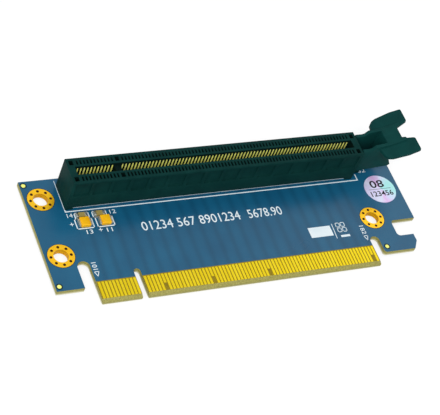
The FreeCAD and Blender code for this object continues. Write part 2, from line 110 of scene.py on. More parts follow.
def addNode(tree, kind, links=None, stops=(), **settings):
    # One node: settings go on the node, links join a socket or a value to each input, and
    # stops are a ramp's positions, each with a hex colour or a grey value
    node = tree.nodes.new(kind)
    for name, value in settings.items():
        setattr(node, name, value)
    for key, value in (links or {}).items():
        if isinstance(value, bpy.types.NodeSocket):
            tree.links.new(value, node.inputs[key])
        else:
            node.inputs[key].default_value = value
    if stops:
        elements = node.color_ramp.elements
        while len(elements) < len(stops):
            elements.new(0.5)
        for element, (position, value) in zip(elements, stops):
            element.position = position
            element.color = linear(value) if isinstance(value, str) else (value, value, value, 1)
    return node


def startMaterial(name):
    # A new material, its node tree, its main shader and the place on the object
    material = bpy.data.materials.new(name)
    material.use_nodes = True
    tree = material.node_tree
    shader = tree.nodes["Principled BSDF"]
    place = addNode(tree, "ShaderNodeTexCoord").outputs["Object"]
    return material, tree, shader, place


def meshPiece(name, shape, material, smooth=False):
    # One new piece of the card, from its points and faces
    points, faces = shape
    mesh = bpy.data.meshes.new(name)
    mesh.from_pydata(np.asarray(points).tolist(), [], [list(face) for face in faces])
    mesh.update()
    mesh.materials.append(material)
    mesh.polygons.foreach_set("use_smooth", [smooth] * len(mesh.polygons))
    piece = bpy.data.objects.new(name, mesh)
    bpy.context.scene.collection.objects.link(piece)
    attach(piece, "card")
    return piece


def carried(paths, profiles):
    # Many closed profiles carried along as many paths, as one mesh.
    # point[n, p, k] = path[n, p] + x[n, p, k] * side + y[n, p, k] * up, where side is
    # world x and up is square to the path in the y-z plane. Ends are closed.
    count, stations, _ = paths.shape
    run = np.gradient(paths, axis=1)
    run /= np.linalg.norm(run, axis=2, keepdims=True)
    side = np.broadcast_to([1.0, 0.0, 0.0], run.shape)
    up = np.cross(run, side)
    points = (paths[:, :, None, :] + profiles[..., :1] * side[:, :, None, :]
              + profiles[..., 1:] * up[:, :, None, :])
    index = np.arange(count * stations * profiles.shape[2]).reshape(points.shape[:3])
    return points.reshape(-1, 3), closedTubes(index)


def closedTubes(index):
    # Walls between neighbouring loops of each tube in an index grid, and its two ends
    here, onward = index[:, :-1], index[:, 1:]
    walls = np.stack([here, np.roll(here, -1, 2), np.roll(onward, -1, 2), onward], -1)
    return walls.reshape(-1, 4).tolist() + index[:, 0, ::-1].tolist() + index[:, -1].tolist()


def circle(segments):
    # Points (cos a, sin a) at even steps round one turn
    angle = np.linspace(0, 2 * math.pi, segments, endpoint=False)
    return np.stack([np.cos(angle), np.sin(angle)], -1)


def turned(centres, profile, segments, outward=1):
    # Many turned shapes at once: point = centre + (r cos a, r sin a, outward * h) for
    # each (r, h) of the profile; both end rings are closed with a flat face
    spin = circle(segments)
    rise = np.broadcast_to(outward * profile[:, None, 1:], (len(profile), segments, 1))
    shape = np.concatenate([profile[:, None, :1] * spin[None], rise], -1)
    points = np.asarray(centres)[:, None, None, :] + shape[None]
    faces = closedTubes(np.arange(points.size // 3).reshape(points.shape[:3]))
    if outward < 0:
        faces = [face[::-1] for face in faces]
    return points.reshape(-1, 3), faces


def washers(centres, inner, outer, rise, segments, outward=1):
    # Flat rings: the closed outline (inner, 0), (outer, 0), (outer, rise), (inner, rise)
    # turned once round each centre
    spin = circle(segments)
    outline = np.array([(inner, 0), (outer, 0), (outer, rise), (inner, rise)])
    lift = np.broadcast_to(outward * outline[None, :, 1:], (segments, 4, 1))
    shape = np.concatenate([outline[None, :, :1] * spin[:, None], lift], -1)
    points = np.asarray(centres)[:, None, None] + shape[None]
    here = np.arange(points.size // 3).reshape(points.shape[:3])
    onward = np.roll(here, -1, 1)
    walls = np.stack([here, onward, np.roll(onward, -1, 2), np.roll(here, -1, 2)], -1)
    faces = walls.reshape(-1, 4).tolist()
    if outward > 0:
        faces = [face[::-1] for face in faces]
    return points.reshape(-1, 3), faces


def bars(strokes, width, base, rise):
    # A flat bar for each stroke (x0, y0, x1, y1): four corners at plus and minus half
    # the width square to the stroke, half a width past its ends, raised by rise
    start, end = np.split(np.array(strokes, dtype=float).reshape(-1, 4), 2, axis=1)
    along = (end - start) / np.linalg.norm(end - start, axis=1, keepdims=True) * width / 2
    square = np.stack([-along[:, 1], along[:, 0]], -1)
    loop = np.stack([start - along - square, end + along - square, end + along + square,
                     start - along + square], 1)
    points = np.concatenate([np.concatenate([loop, np.full((*loop.shape[:2], 1), z)], -1)
                             for z in (base, base + rise)], 1)
    box = np.array([[3, 2, 1, 0], [4, 5, 6, 7], [0, 1, 5, 4], [1, 2, 6, 5], [2, 3, 7, 6],
                    [3, 0, 4, 7]])
    faces = (np.arange(len(points))[:, None, None] * 8 + box).reshape(-1, 4)
    return points.reshape(-1, 3), faces.tolist()


def frameStrokes(x0, x1, y0, y1):
    # The four sides of an upright frame as strokes, end to end
    return [(x0, y0, x1, y0), (x1, y0, x1, y1), (x1, y1, x0, y1), (x0, y1, x0, y0)]


def together(*shapes):
    # Joins (points, faces) pairs into one
    points, faces, start = [], [], 0
    for somePoints, someFaces in shapes:
        points.append(np.asarray(somePoints))
        faces += [[start + i for i in face] for face in someFaces]
        start += len(somePoints)
    return np.concatenate(points), faces


softening = dict(weld=0.002 * mm, flat=1.0, sharp=32.0)  # flat and sharp are in degrees


def softenedCopy(name, nodeName, soft, material, body):
    # A copy of a CAD node, merged and given rounded edges by a bevel
    shape = bmesh.new()
    shape.from_mesh(nodes[nodeName].data)
    bmesh.ops.remove_doubles(shape, verts=shape.verts, dist=softening["weld"])
    bmesh.ops.dissolve_limit(shape, angle_limit=math.radians(softening["flat"]),
                             verts=shape.verts, edges=shape.edges)
    if "tipRadius" in soft:
        # free corners first: the short edges at the far end of the piece
        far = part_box(nodeName)[1][0] - soft["tipDepth"]
        tips = [edge for edge in shape.edges
                if edge.calc_length() < soft["tipEdge"] and min(v.co.x for v in edge.verts) > far]
        bmesh.ops.bevel(shape, geom=tips, offset=soft["tipRadius"], offset_type="OFFSET",
                        segments=soft["segments"], profile=0.5, affect="EDGES")
    mesh = bpy.data.meshes.new(name)
    shape.to_mesh(mesh)
    shape.free()
    mesh.materials.clear()
    mesh.materials.append(material)
    mesh.polygons.foreach_set("use_smooth", [True] * len(mesh.polygons))
    piece = bpy.data.objects.new(name, mesh)
    bpy.context.scene.collection.objects.link(piece)
    bevel = piece.modifiers.new("roundedEdges", "BEVEL")
    bevel.width = soft["radius"]
    bevel.segments = soft["segments"]
    bevel.limit_method = "ANGLE"
    bevel.angle_limit = math.radians(softening["sharp"])
    bevel.harden_normals = True
    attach(piece, body)
    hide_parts(nodeName)
    return piece


def insideBox(tree, place, low, high):
    # 1 where the place lies between two corners, 0 elsewhere: one compare for each axis
    axes = addNode(tree, "ShaderNodeSeparateXYZ", {0: place}).outputs
    inside = 1.0
    for axis, start, end in zip("XYZ", low, high):
        test = addNode(tree, "ShaderNodeMath",
                       {0: axes[axis], 1: (start + end) / 2, 2: (end - start) / 2},
                       operation="COMPARE")
        inside = addNode(tree, "ShaderNodeMath", {0: test.outputs[0], 1: inside},
                         operation="MULTIPLY").outputs[0]
    return inside


maskLook = dict(
    # cloud, lanes, fibre, smear and thread are sizes in millimetres; a woven glass
    # thread is about 0.5 mm wide
    thick="#115375", thin="#165e80", cloud=9.0, roughness=(0.24, 0.34), smear=14.0,
    specular=0.3, thread=0.5, weaveHigh=0.02 * mm, weaveStrength=0.1,
    streak="#0d4360", lanes=4.0, streakBend=2.2, streakSharpness=2.0, streakDepth=0.42,
    cut=("#857e3e", "#aea85f"), bare=("#806c05", "#9c8509"), fibre=0.35, cutRoughness=0.6,
    frayed="#dedab8", frayedFrom=0.8 * mm, frayedTo=0.1 * mm,
    fingerMargin=0.3 * mm, skin=0.004 * mm)


def solderMaskedLaminate():
    # Liquid photo mask cured over woven glass: a glossy, see-through blue that pools
    # unevenly and shows the weave, with pale routed edges and a bare finger field
    material, tree, shader, place = startMaterial("solderMaskedLaminate")
    half = (frontFace - rearFace) / 2
    height = addNode(tree, "ShaderNodeSeparateXYZ", {0: place}).outputs["Z"]
    depth = addNode(tree, "ShaderNodeMath", {0: height, 1: rearFace + half}, operation="SUBTRACT")
    depth = addNode(tree, "ShaderNodeMath", {0: depth.outputs[0]}, operation="ABSOLUTE")
    onFace = addNode(tree, "ShaderNodeMath", {0: depth.outputs[0], 1: half - maskLook["skin"]},
                     operation="GREATER_THAN").outputs[0]
    margin = maskLook["fingerMargin"]
    bareZone = insideBox(
        tree, place, (fingerLow[0] - 2 * margin, boardLow[1] - margin, rearFace - margin),
        (fingerHigh[0] + 2 * margin, fingerHigh[1] + margin, frontFace + margin))
    # slow change of ink thickness
    cloud = addNode(tree, "ShaderNodeTexNoise", {"Vector": place, "Scale": per(maskLook["cloud"]),
                                                 "Detail": 3.0})
    ink = addNode(tree, "ShaderNodeValToRGB", {0: cloud.outputs["Fac"]},
                  stops=[(0.3, maskLook["thick"]), (0.75, maskLook["thin"])])
    # ink pools between the lanes of copper, in soft dark streaks four contacts apart, as
    # wide as they need to be to show; a wave repeats every pi / 10 at scale 1
    overCopper = insideBox(tree, place, (fingerLow[0], fingerHigh[1], rearFace - margin),
                           (contactX[-1], slotMiddle, frontFace + margin))
    wave = addNode(tree, "ShaderNodeTexWave", {
        "Vector": place, "Scale": per(maskLook["lanes"]) * math.pi / 10,
        "Distortion": maskLook["streakBend"], "Detail": 2.0, "Detail Scale": 0.35})
    narrow = addNode(tree, "ShaderNodeMath",
                     {0: wave.outputs["Fac"], 1: maskLook["streakSharpness"]}, operation="POWER")
    streak = addNode(tree, "ShaderNodeMath", {0: narrow.outputs[0], 1: overCopper},
                     operation="MULTIPLY")
    streak = addNode(tree, "ShaderNodeMath", {0: streak.outputs[0], 1: maskLook["streakDepth"]},
                     operation="MULTIPLY")
    ink = addNode(tree, "ShaderNodeMix", {0: streak.outputs[0], 6: ink.outputs[0],
                                          7: linear(maskLook["streak"])}, data_type="RGBA")
    # glass fibre ends along the cuts and in the bare field, drawn coarser than real ones
    # so that they show, and frayed pale near the rear
    fibre = addNode(tree, "ShaderNodeTexNoise", {"Vector": place, "Scale": per(maskLook["fibre"]),
                                                 "Detail": 4.0})
    cutEdge, bareField = [
        addNode(tree, "ShaderNodeValToRGB", {0: fibre.outputs["Fac"]},
                stops=[(0.3, dark), (0.7, pale)])
        for dark, pale in (maskLook["cut"], maskLook["bare"])]
    frayed = addNode(tree, "ShaderNodeMapRange", {0: height, 1: rearFace + maskLook["frayedFrom"],
                                                  2: rearFace + maskLook["frayedTo"]})
    cutEdge = addNode(tree, "ShaderNodeMix", {0: frayed.outputs[0], 6: cutEdge.outputs[0],
                                              7: linear(maskLook["frayed"])}, data_type="RGBA")
    face = addNode(tree, "ShaderNodeMix",
                   {0: bareZone, 6: ink.outputs[2], 7: bareField.outputs[0]}, data_type="RGBA")
    whole = addNode(tree, "ShaderNodeMix", {0: onFace, 6: cutEdge.outputs[2], 7: face.outputs[2]},
                    data_type="RGBA")
    tree.links.new(whole.outputs[2], shader.inputs["Base Color"])
    # handling smears change the gloss, and cut or bare glass is matt
    smear = addNode(tree, "ShaderNodeTexNoise", {"Vector": place, "Scale": per(maskLook["smear"]),
                                                 "Detail": 5.0, "Distortion": 0.8})
    glossy, dull = maskLook["roughness"]
    gloss = addNode(tree, "ShaderNodeMapRange", {0: smear.outputs["Fac"], 3: glossy, 4: dull})
    masked = addNode(tree, "ShaderNodeMath", {0: onFace, 1: bareZone}, operation="SUBTRACT")
    masked = addNode(tree, "ShaderNodeMath", {0: masked.outputs[0], 1: 0.0}, operation="MAXIMUM")
    rough = addNode(tree, "ShaderNodeMix", {0: masked.outputs[0], 2: maskLook["cutRoughness"],
                                            3: gloss.outputs[0]})
    tree.links.new(rough.outputs[0], shader.inputs["Roughness"])
    weave = addNode(tree, "ShaderNodeTexVoronoi", {
        "Vector": place, "Scale": per(maskLook["thread"]), "Randomness": 0.15},
        distance="CHEBYCHEV")
    relief = addNode(tree, "ShaderNodeBump", {
        "Strength": maskLook["weaveStrength"], "Distance": maskLook["weaveHigh"],
        "Height": weave.outputs["Distance"]})
    tree.links.new(relief.outputs[0], shader.inputs["Normal"])
    shader.inputs["Specular IOR Level"].default_value = maskLook["specular"]
    return material


plating = dict(grain=1.1, glossier=0.06, duller=0.08, reliefHigh=0.01 * mm)  # grain in mm


def platedMetal(name, low, high, roughness, drawn=(1.0, 1.0, 1.0), strength=0.15, metallic=1.0):
    # Plated metal: its full colour, with a plating grain that is drawn out along the way
    # it was wiped or rolled, in colour, gloss and relief. Real plating is finer; the
    # grain is 1.1 mm across so that it shows.
    material, tree, shader, place = startMaterial(name)
    stretch = addNode(tree, "ShaderNodeMapping", {0: place, "Scale": drawn})
    grain = addNode(tree, "ShaderNodeTexNoise", {"Vector": stretch.outputs[0],
                                                 "Scale": per(plating["grain"]),
                                                 "Detail": 4.0})
    tint = addNode(tree, "ShaderNodeValToRGB", {0: grain.outputs["Fac"]},
                   stops=[(0.25, low), (0.75, high)])
    tree.links.new(tint.outputs[0], shader.inputs["Base Color"])
    rough = addNode(tree, "ShaderNodeMapRange", {
        0: grain.outputs["Fac"], 3: roughness - plating["glossier"],
        4: roughness + plating["duller"]})
    tree.links.new(rough.outputs[0], shader.inputs["Roughness"])
    relief = addNode(tree, "ShaderNodeBump", {
        "Strength": strength, "Distance": plating["reliefHigh"], "Height": grain.outputs["Fac"]})
    tree.links.new(relief.outputs[0], shader.inputs["Normal"])
    shader.inputs["Metallic"].default_value = metallic
    return material


# the pocket colour in this table is painted shade for the inside of the housing's pockets
moulding = dict(flow=4.5, flowBend=0.6, glossier=0.05, duller=0.07, reliefHigh=0.015 * mm,
                cored="#071917")  # flow in mm


def mouldedPlastic(name, low, high, roughness, grainSize=0.5, grainStrength=0.25,
                   specular=0.5, cored=()):
    # Filled plastic from a spark-eroded mould: even colour with faint flow marks some
    # 4.5 mm across, and a matt grain, coarser than the real one so that it shows. Listed
    # pockets take a dark colour: painted shade where light does not reach inside them.
    material, tree, shader, place = startMaterial(name)
    flow = addNode(tree, "ShaderNodeTexNoise", {
        "Vector": place, "Scale": per(moulding["flow"]), "Detail": 5.0,
        "Distortion": moulding["flowBend"]})
    colour = addNode(tree, "ShaderNodeValToRGB", {0: flow.outputs["Fac"]},
                     stops=[(0.3, low), (0.75, high)]).outputs[0]
    # painted shade: each listed pocket box takes the dark pocket colour
    for pocketLow, pocketHigh in cored:
        inside = insideBox(tree, place, pocketLow, pocketHigh)
        colour = addNode(tree, "ShaderNodeMix",
                         {0: inside, 6: colour, 7: linear(moulding["cored"])},
                         data_type="RGBA").outputs[2]
    tree.links.new(colour, shader.inputs["Base Color"])
    rough = addNode(tree, "ShaderNodeMapRange", {
        0: flow.outputs["Fac"], 3: roughness - moulding["glossier"],
        4: roughness + moulding["duller"]})
    tree.links.new(rough.outputs[0], shader.inputs["Roughness"])
    grain = addNode(tree, "ShaderNodeTexNoise", {"Vector": place, "Scale": per(grainSize),
                                                 "Detail": 3.0})
    relief = addNode(tree, "ShaderNodeBump", {
        "Strength": grainStrength, "Distance": moulding["reliefHigh"],
        "Height": grain.outputs["Fac"]})
    tree.links.new(relief.outputs[0], shader.inputs["Normal"])
    shader.inputs["Specular IOR Level"].default_value = specular
    return material


filmLook = dict(
    # turn and wander are in radians, cloud and ridge in millimetres
    turn=-1.75, wander=0.7, cloud=3.8, metallic=0.15, roughness=0.35, coat=0.4,
    coatRoughness=0.1, ridge=1.1, ridgeBend=1.5, ridgeHigh=0.01 * mm, ridgeStrength=0.1,
    bands=[(0.0, "#a2e8e6"), (0.28, "#d2dcfa"), (0.52, "#e4bcee"), (0.76, "#dfe4fb"),
           (1.0, "#dad3f6")])


def diffractionFilm():
    # Embossed metallised film: pale bands of cyan, lilac and pink that fan out from
    # the middle, under a clear glossy top. The real ridges are too fine to show, so
    # these are 1.1 mm apart. Band = sine of the angle about the middle plus turn.
    material, tree, shader, place = startMaterial("diffractionFilm")
    centre = (stickerLow + stickerHigh) / 2
    moved = addNode(tree, "ShaderNodeVectorMath", {0: place, 1: centre.tolist()},
                    operation="SUBTRACT")
    axes = addNode(tree, "ShaderNodeSeparateXYZ", {0: moved.outputs[0]}).outputs
    angle = addNode(tree, "ShaderNodeMath", {0: axes["Y"], 1: axes["X"]}, operation="ARCTAN2")
    cloud = addNode(tree, "ShaderNodeTexNoise", {"Vector": place, "Scale": per(filmLook["cloud"]),
                                                 "Detail": 2.0})
    shift = addNode(tree, "ShaderNodeMapRange", {
        0: cloud.outputs["Fac"], 3: filmLook["turn"] - filmLook["wander"],
        4: filmLook["turn"] + filmLook["wander"]})
    wave = addNode(tree, "ShaderNodeMath", {0: angle.outputs[0], 1: shift.outputs[0]},
                   operation="ADD")
    wave = addNode(tree, "ShaderNodeMath", {0: wave.outputs[0]}, operation="SINE")
    band = addNode(tree, "ShaderNodeMapRange", {0: wave.outputs[0], 1: -1.0, 2: 1.0})
    tint = addNode(tree, "ShaderNodeValToRGB", {0: band.outputs[0]}, stops=filmLook["bands"])
    tree.links.new(tint.outputs[0], shader.inputs["Base Color"])
    shader.inputs["Metallic"].default_value = filmLook["metallic"]
    shader.inputs["Roughness"].default_value = filmLook["roughness"]
    shader.inputs["Coat Weight"].default_value = filmLook["coat"]
    shader.inputs["Coat Roughness"].default_value = filmLook["coatRoughness"]
    ridges = addNode(tree, "ShaderNodeTexWave", {"Vector": place, "Scale": per(filmLook["ridge"]),
                                                 "Distortion": filmLook["ridgeBend"]})
    relief = addNode(tree, "ShaderNodeBump", {
        "Strength": filmLook["ridgeStrength"], "Distance": filmLook["ridgeHigh"],
        "Height": ridges.outputs["Fac"]})
    tree.links.new(relief.outputs[0], shader.inputs["Normal"])
    return material


# pockets of the housing that get painted shade: the card's mouth, and the comb rows on both sides
# of it
pocket = dict(pastEnd=2.4 * mm, mouthHalf=1.45 * mm, combNear=1.95 * mm, combFar=3.6 * mm,
              deep=2.1 * mm, lip=0.15 * mm)
paintedShadePockets = [((contactX[0] - pocket["pastEnd"], slotMiddle + near, housingHigh[2] - deep),
            (contactX[-1] + pocket["pastEnd"], slotMiddle + far, housingHigh[2] - pocket["lip"]))
           for near, far, deep in (
               (-pocket["mouthHalf"], pocket["mouthHalf"], housingHigh[2] - frontFace),
               (pocket["combNear"], pocket["combFar"], pocket["deep"]),
               (-pocket["combFar"], -pocket["combNear"], pocket["deep"]))]
maskBlue = solderMaskedLaminate()
# hard gold plated for wear and wiped lengthwise: a broad yellow sheen along each finger
fingerGold = platedMetal("electrolyticGold", "#d6bc17", "#e1cb28", 0.4, drawn=(1.0, 0.06, 1.0))
# a thin gold dip over nickel: deeper and more orange, with a soft shine
ringGold = platedMetal("immersionGold", "#f2b406", "#fcca12", 0.34, metallic=0.6)
# rolled bronze strip with a flash of gold: pale lemon, with fine lines up the strip
springGold = platedMetal("goldFlashedBronze", "#f6fa70", "#feff94", 0.5, drawn=(1.0, 1.0, 0.1),
                         metallic=0.08)
# tin left by a solder wave: bright silver with a slight ripple
solderTin = platedMetal("waveSolderedTin", "#b9bbb9", "#d6d7d3", 0.28, strength=0.3)
# tinned sheet, folded: a duller cream silver
endTin = platedMetal("tinnedTerminal", "#c0bfb2", "#dedbce", 0.42)
# glass-filled nylon: a dark green that looks dry, with soft flow marks, and painted shade in its
# pockets
slotNylon = mouldedPlastic("glassFilledNylon", "#092d2b", "#0e3734", 0.55, specular=0.035,
                           cored=paintedShadePockets)
# the same nylon from a finer mould: a shade lighter and a little glossier
leverNylon = mouldedPlastic("leverNylon", "#0b3836", "#0f413e", 0.48, specular=0.05)
# transfer-moulded epoxy: an even, strong amber
blockEpoxy = mouldedPlastic("mouldedEpoxy", "#f6b206", "#fcc614", 0.4, grainSize=0.4,
                            specular=0.3)
# fired and tumbled titanate: a dull, faintly mottled tan
chipCeramic = mouldedPlastic("firedTitanate", "#978446", "#ab9a5a", 0.45, grainSize=0.3,
                             specular=0.3)
# dark brown discs on the vias: painted shade for the inside of each via's hole
paintedViaShade = mouldedPlastic("tentedVia", "#351802", "#452206", 0.5, specular=0.1)
# the sloped lip of an opening in the mask: a thin dark blue line
maskLip = mouldedPlastic("maskOpening", "#05202e", "#0a2a38", 0.4, specular=0.1)
# ink screened through a mesh: a flat, cool white with a faintly uneven face
silkInk = mouldedPlastic("screenedInk", "#e2f0f6", "#f2fafc", 0.6, grainSize=0.2,
                         grainStrength=0.4)
# thin ink on film: soft black
filmInk = mouldedPlastic("filmInk", "#141018", "#221c28", 0.5, grainSize=0.2, specular=0.2)
film = diffractionFilm()
print("materials made")

finishes = {
    maskBlue: ["circuit_board"],
    fingerGold: ["front_fingers", "rear_fingers"],
    ringGold: ["plated_rings"],
    slotNylon: ["slot_housing"],
    leverNylon: ["latch_lever"],
    springGold: ["front_even_contacts", "front_odd_contacts", "rear_even_contacts",
                 "rear_odd_contacts"],
    blockEpoxy: ["left_block_capacitor", "right_block_capacitor"],
    chipCeramic: ["left_chip_capacitor", "right_chip_capacitor"],
    endTin: ["left_block_terminals", "right_block_terminals", "left_chip_ends", "right_chip_ends"],
    film: ["inspection_sticker"],
    silkInk: ["printed_marks"],
}
for finish, names in finishes.items():
    for name in names:
        nodes[name].data.materials.clear()
        nodes[name].data.materials.append(finish)
print("frame nodes finished")


softHousing = dict(radius=0.11 * mm, segments=1)
softLever = dict(radius=0.22 * mm, segments=3, tipRadius=0.45 * mm, tipDepth=0.5 * mm,
                 tipEdge=1.0 * mm)
softBlock = dict(radius=0.25 * mm, segments=3)
softEnd = dict(radius=0.09 * mm, segments=2)
softenedCopy("housingMoulding", "slot_housing", softHousing, slotNylon, "card")
softenedCopy("leverMoulding", "latch_lever", softLever, leverNylon, "latch")
for side in ("left", "right"):
    softenedCopy(side + "BlockMoulding", side + "_block_capacitor", softBlock, blockEpoxy, "card")
    softenedCopy(side + "ChipEnds", side + "_chip_ends", softEnd, endTin, "card")
print("mouldings softened")


spring = dict(lean=0.12 * mm, leanHigh=4.6 * mm, thick=0.12 * mm, wide=0.35 * mm,
              tipWide=0.16 * mm, tailWide=0.119 * mm, taper=0.6 * mm, drop=0.35 * mm,
              mouthDeep=8.0 * mm, lift=1.0 * mm, liftSteps=(0.0, 0.35, 0.7, 1.0))


def springRow(sideSign, odd):
    # Upright strips. Out from the slot's middle, u = wall - lean * t, where t runs in
    # straight lines from 0 at the top to 1 at the bend and back to 0 at the mouth's
    # floor. Below the housing an odd strip swings out to its tail row in a smooth step.
    low, high = (oddLow, oddHigh) if odd else (evenLow, evenHigh)
    tip = high[2] - spring["drop"]
    wall = slotMiddle - evenLow[1] - spring["thick"] / 2
    tail = slotMiddle - low[1] - spring["thick"] / 2
    bend = tip - spring["leanHigh"]
    floor = housingHigh[2] - spring["mouthDeep"]
    lifts = frontFace + spring["lift"] * np.array(spring["liftSteps"])
    tapers = [low[2], low[2] + spring["taper"], tip - spring["taper"], tip]
    height = np.sort([*tapers, *lifts, floor, bend])
    out = wall - spring["lean"] * np.interp(height, [floor, bend, tip], [0, 1, 0])
    fall = np.clip((height - frontFace) / spring["lift"], 0, 1)
    out = tail + (out - tail) * fall * fall * (3 - 2 * fall)
    across = contactX[isOdd == odd]
    paths = np.stack(np.broadcast_arrays(
        across[:, None], (slotMiddle + sideSign * out)[None], height[None]), axis=-1)
    halfWide = np.interp(height, tapers, [spring["tailWide"], spring["wide"] / 2,
                                          spring["wide"] / 2, spring["tipWide"] / 2])
    outline = np.array([(-1, -1), (1, -1), (1, 1), (-1, 1)])
    halfThick = np.broadcast_to(spring["thick"] / 2 * outline[:, 1], (len(height), 4))
    profile = np.stack([halfWide[:, None] * outline[:, 0], halfThick], -1)
    profiles = np.broadcast_to(profile, (len(across), *profile.shape))
    return carried(np.ascontiguousarray(paths), profiles)


for label, sign in (("front", -1), ("rear", 1)):
    springs = meshPiece(label + "Springs", together(springRow(sign, True), springRow(sign, False)),
                        springGold)
    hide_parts(label + "_odd_contacts", label + "_even_contacts")
print("contact springs made")


joint = dict(pad=0.46 * mm, rise=0.7 * mm, neck=0.12 * mm, flare=2.2, segments=8, loops=4)


def solderJoints():
    # A hollow cone: r = neck + (pad - neck) * (1 - t) ** flare while it rises t * rise
    t = np.linspace(0, 1, joint["loops"])
    radius = joint["neck"] + (joint["pad"] - joint["neck"]) * (1 - t) ** joint["flare"]
    out = slotMiddle - spring["thick"] / 2 - np.where(isOdd, oddLow[1], evenLow[1])
    spots = np.concatenate([
        np.stack([contactX, slotMiddle + sign * out, np.full(len(order), rearFace)], -1)
        for sign in (-1, 1)])
    return turned(spots, np.stack([radius, joint["rise"] * t], -1), joint["segments"], -1)


meshPiece("tailSolder", solderJoints(), solderTin, smooth=True)
print("solder joints made")


ring = dict(segments=64, lip=0.14 * mm, lipRise=0.03 * mm, vias=8, viaPlace=0.77,
            viaRadius=0.42 * mm, viaRise=0.006 * mm, viaSegments=12, firstVia=0.02)
ringRadius = holeCentres[0][0] - ringLow[0]


def atHeight(centres, height):
    # The same centres with z set to one height
    moved = np.array(centres)
    moved[:, 2] = height
    return moved


# eight vias round each ring, as low dark drums that are painted shade for the holes: a
# via's outline is in shares of its radius and rise
viaAngle = ring["firstVia"] + np.arange(ring["vias"]) / ring["vias"] * 2 * math.pi
viaAway = np.stack([np.cos(viaAngle), np.sin(viaAngle), np.zeros_like(viaAngle)], -1)
viaSpots = (holeCentres[:, None] + viaAway[None] * ringRadius * ring["viaPlace"]).reshape(-1, 3)
viaPit = np.array([(1.0, 0), (1.0, 1.0), (0.5, 1.0)]) * (ring["viaRadius"], ring["viaRise"])
meshPiece("viaPits", together(
    turned(atHeight(viaSpots, ringHigh[2]), viaPit, ring["viaSegments"]),
    turned(atHeight(viaSpots, ringLow[2]), viaPit, ring["viaSegments"], -1)),
    paintedViaShade)

# the fiducials' places are measured in from the board's own edges
fiducial = dict(radius=0.6 * mm, clear=0.95 * mm, rise=0.03 * mm, segments=28,
                leftIn=1.1 * mm, topIn=1.4 * mm, legUp=6.35 * mm, rightIn=13.3 * mm,
                footUp=5.4 * mm)
fiducialSpots = np.array([
    (boardLow[0] + fiducial["leftIn"], boardHigh[1] - fiducial["topIn"], frontFace),
    (boardLow[0] + fiducial["leftIn"], boardLow[1] + fiducial["legUp"], frontFace),
    (boardHigh[0] - fiducial["rightIn"], boardLow[1] + fiducial["footUp"], frontFace),
])
dot = np.array([(1.0, 0), (1.0, 0.8), (0.9, 1.0), (0.15, 1.0)])  # shares, as for a via
dot *= (fiducial["radius"], fiducial["rise"])
meshPiece("fiducialDots", turned(fiducialSpots, dot, fiducial["segments"]), springGold)

# dark lips where the mask opens round the rings, front and rear, and round the dots
lips = [washers(atHeight(holeCentres, face), ringRadius, ringRadius + ring["lip"],
                ring["lipRise"], ring["segments"], outward)
        for face, outward in ((frontFace, 1), (rearFace, -1))]
lips.append(washers(fiducialSpots, fiducial["radius"], fiducial["clear"], ring["lipRise"] / 2,
                    fiducial["segments"]))
meshPiece("maskLips", together(*lips), maskLip)
print("rings, vias and fiducials made")


ink = dict(rise=0.025 * mm, bold=0.002, line=0.3 * mm, fine=0.2 * mm, hair=0.12 * mm)
titleText = dict(high=2.95 * mm, y=6.35 * mm, bold=0.001, words=[
    # words, middle x, width
    ("01234 567", 33.1 * mm, 16.0 * mm),
    ("8901234", 48.6 * mm, 12.5 * mm),
    ("5678.90", 62.7 * mm, 10.6 * mm),
])
smallTexts = [
    # words, middle x, middle y, height, width, turn in degrees
    ("14", 6.3 * mm, 12.5 * mm, 1.3 * mm, 1.6 * mm, 0),
    ("+", 6.0 * mm, 9.6 * mm, 1.1 * mm, 1.1 * mm, 0),
    ("13", 10.2 * mm, 6.6 * mm, 1.3 * mm, 1.8 * mm, 0),
    ("+", 13.4 * mm, 6.9 * mm, 1.1 * mm, 1.1 * mm, 0),
    ("11", 15.9 * mm, 6.6 * mm, 1.3 * mm, 1.6 * mm, 0),
    ("12", 18.6 * mm, 12.4 * mm, 1.3 * mm, 1.8 * mm, 0),
    ("101", 7.9 * mm, -4.4 * mm, 1.35 * mm, 2.3 * mm, -90),
    ("182", 90.3 * mm, -3.7 * mm, 1.35 * mm, 3.0 * mm, -90),
    ("62", 99.2 * mm, 17.0 * mm, 1.2 * mm, 2.6 * mm, 0),
]


def lettering(words, x, y, z, high, width, turn=0.0, bold=ink["bold"], rise=ink["rise"]):
    # Text made a mesh first, then stretched to its height and width, turned and put in place:
    # point = (letter - middle) / size * (width, high, rise), turned about z, plus (x, y, z)
    curve = bpy.data.curves.new("letters", "FONT")
    curve.body = words
    curve.extrude = 0.5  # any depth does, as it is stretched to the rise below
    curve.offset = bold
    curve.resolution_u = 3
    holder = bpy.data.objects.new("letters", curve)
    bpy.context.scene.collection.objects.link(holder)
    bpy.context.view_layer.update()
    mesh = bpy.data.meshes.new_from_object(holder)
    bpy.data.objects.remove(holder)
    points = np.empty(len(mesh.vertices) * 3)
    mesh.vertices.foreach_get("co", points)
    points = points.reshape(-1, 3)
    least, most = points.min(0), points.max(0)
    points = (points - (least + most) / 2) / (most - least) * (width, high, rise)
    angle = math.radians(turn)
    spin = np.array([[math.cos(angle), -math.sin(angle)], [math.sin(angle), math.cos(angle)]])
    points[:, :2] = points[:, :2] @ spin.T
    faces = [list(face.vertices) for face in mesh.polygons]
    bpy.data.meshes.remove(mesh)
    return points + (x, y, z + rise / 2), faces


def inked(strokes, width):
    # Flat bars of ink that stand on the slot side of the board
    return bars(strokes, width, frontFace, ink["rise"])


prints = [lettering(words, x, titleText["y"], frontFace, titleText["high"], width,
                    bold=titleText["bold"])
          for words, x, width in titleText["words"]]
prints += [lettering(words, x, y, frontFace, high, width, turn)
           for words, x, y, high, width, turn in smallTexts]

